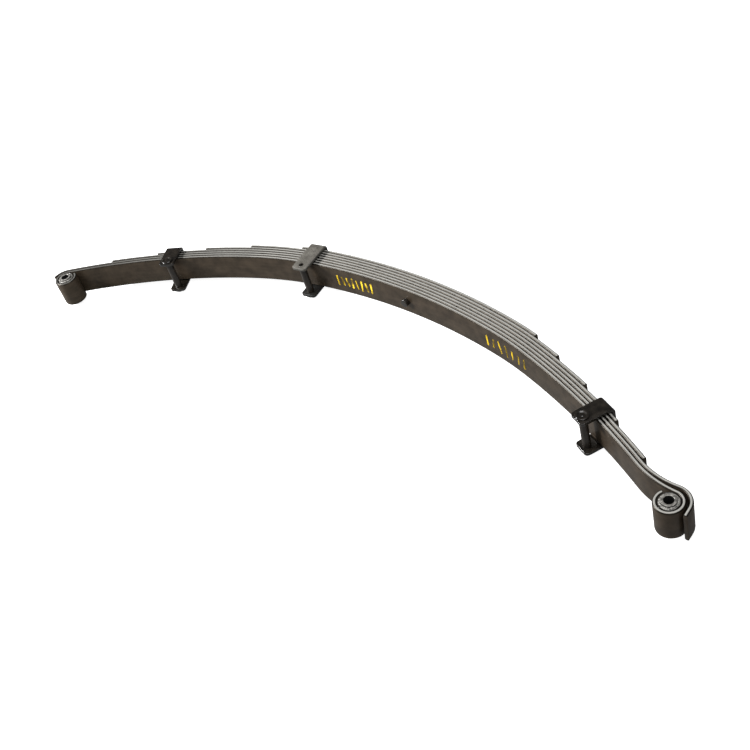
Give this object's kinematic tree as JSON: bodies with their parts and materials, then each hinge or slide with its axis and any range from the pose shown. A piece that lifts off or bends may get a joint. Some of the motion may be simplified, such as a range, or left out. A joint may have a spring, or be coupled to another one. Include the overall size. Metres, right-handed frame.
{
  "type": "leaf spring",
  "caption": "Semi-elliptic vehicle leaf spring: a stack of arched, graded leaves with a bushed eye at each end, a wrapper leaf, a centre bolt and bolted strap clips.",
  "frame": {"origin": "on the centre bolt's axis, where it meets the concave face of the main leaf at mid width", "axes": "+X along the spring to the front eye, +Y from the concave side to the convex side, +Z across the leaves; the spring lies on its side"},
  "size_m": [1.5184, 0.3966, 0.085],
  "materials": {
    "spring_steel": "thin satin black paint over shot-peened spring steel",
    "clip_steel": "satin to gloss black paint over bent flat bar",
    "fastener_steel": "gloss black paint over forged fasteners",
    "bush_steel": "thin black paint over turned steel tube",
    "rubber": "moulded natural rubber"
  },
  "bodies": {
    "leaf_pack": {"main_leaf": "spring_steel", "second_leaf": "spring_steel", "third_leaf": "spring_steel", "fourth_leaf": "spring_steel", "fifth_leaf": "spring_steel", "sixth_leaf": "spring_steel", "seventh_leaf": "spring_steel", "centre_bolt": "fastener_steel", "centre_bolt_nut": "fastener_steel", "rear_inner_clip_strap": "clip_steel", "rear_inner_clip_spacer_tube": "clip_steel", "rear_inner_clip_rivet": "fastener_steel", "rear_inner_clip_pin": "fastener_steel"},
    "front_arm": {"front_bush_shell": "bush_steel", "front_bush_rubber": "rubber", "front_clip_strap": "clip_steel", "front_clip_spacer_tube": "clip_steel", "front_clip_rivet": "fastener_steel", "front_clip_bolt": "fastener_steel", "front_clip_nut": "fastener_steel"},
    "rear_arm": {"rear_bush_shell": "bush_steel", "rear_bush_rubber": "rubber", "rear_outer_clip_strap": "clip_steel", "rear_outer_clip_spacer_tube": "clip_steel", "rear_outer_clip_rivet": "fastener_steel", "rear_outer_clip_bolt": "fastener_steel", "rear_outer_clip_nut": "fastener_steel"},
    "front_sleeve": {"front_bush_sleeve": "bush_steel"},
    "rear_sleeve": {"rear_bush_sleeve": "bush_steel"}
  },
  "joints": [
    {"name": "front_flex", "type": "hinge", "parent": "leaf_pack", "child": "front_arm", "pos_m": [0.18432, 0.01216, 0], "axis": [0, 0, 1], "range_deg": [-2, 16], "stiffness_Nm_per_rad": 3900, "deforming": ["main_leaf", "second_leaf", "third_leaf", "fourth_leaf", "fifth_leaf", "sixth_leaf", "seventh_leaf"]},
    {"name": "rear_flex", "type": "hinge", "parent": "leaf_pack", "child": "rear_arm", "pos_m": [-0.21278, 0.00792, 0], "axis": [0, 0, -1], "range_deg": [-2, 16], "stiffness_Nm_per_rad": 3300, "deforming": ["main_leaf", "second_leaf", "third_leaf", "fourth_leaf", "fifth_leaf", "sixth_leaf", "seventh_leaf"]},
    {"name": "front_sleeve_turn", "type": "hinge", "parent": "front_arm", "child": "front_sleeve", "pos_m": [0.6954, -0.19821, 0], "axis": [0, 0, 1], "range_deg": [-20, 20], "stiffness_Nm_per_rad": 60},
    {"name": "rear_sleeve_turn", "type": "hinge", "parent": "rear_arm", "child": "rear_sleeve", "pos_m": [-0.7527, -0.30907, 0], "axis": [0, 0, 1], "range_deg": [-20, 20], "stiffness_Nm_per_rad": 60}
  ]
}
